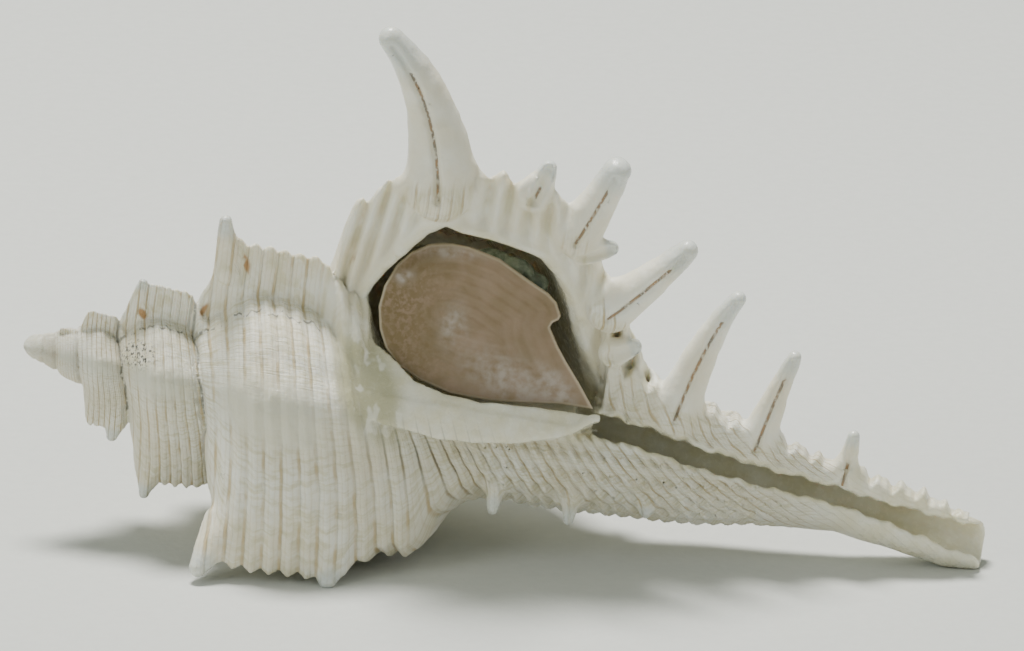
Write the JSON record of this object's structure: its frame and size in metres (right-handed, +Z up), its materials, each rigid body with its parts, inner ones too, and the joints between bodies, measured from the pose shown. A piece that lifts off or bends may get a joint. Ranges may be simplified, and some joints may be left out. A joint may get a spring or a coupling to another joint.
{
  "type": "murex shell",
  "caption": "Murex sea shell lying on its side, with its operculum in the aperture, a flared lip set with open spines and a long siphonal canal",
  "frame": {"origin": "bottom centre of the whole part's box, on the surface that the shell lies on", "axes": "+X runs from the apex of the spire to the end of the siphonal canal, +Z is up, and the aperture faces -Y"},
  "size_m": [0.121, 0.0542, 0.0719],
  "materials": {
    "shell_ivory": "natural lime shell, ivory white, matt with satin ribs",
    "operculum_horn": "dull pinkish brown horn plate",
    "filler_clear": "glossy, clear grey-green"
  },
  "bodies": {
    "root": {"shell": "shell_ivory", "operculum": "operculum_horn", "filler": "filler_clear"}
  },
  "joints": []
}
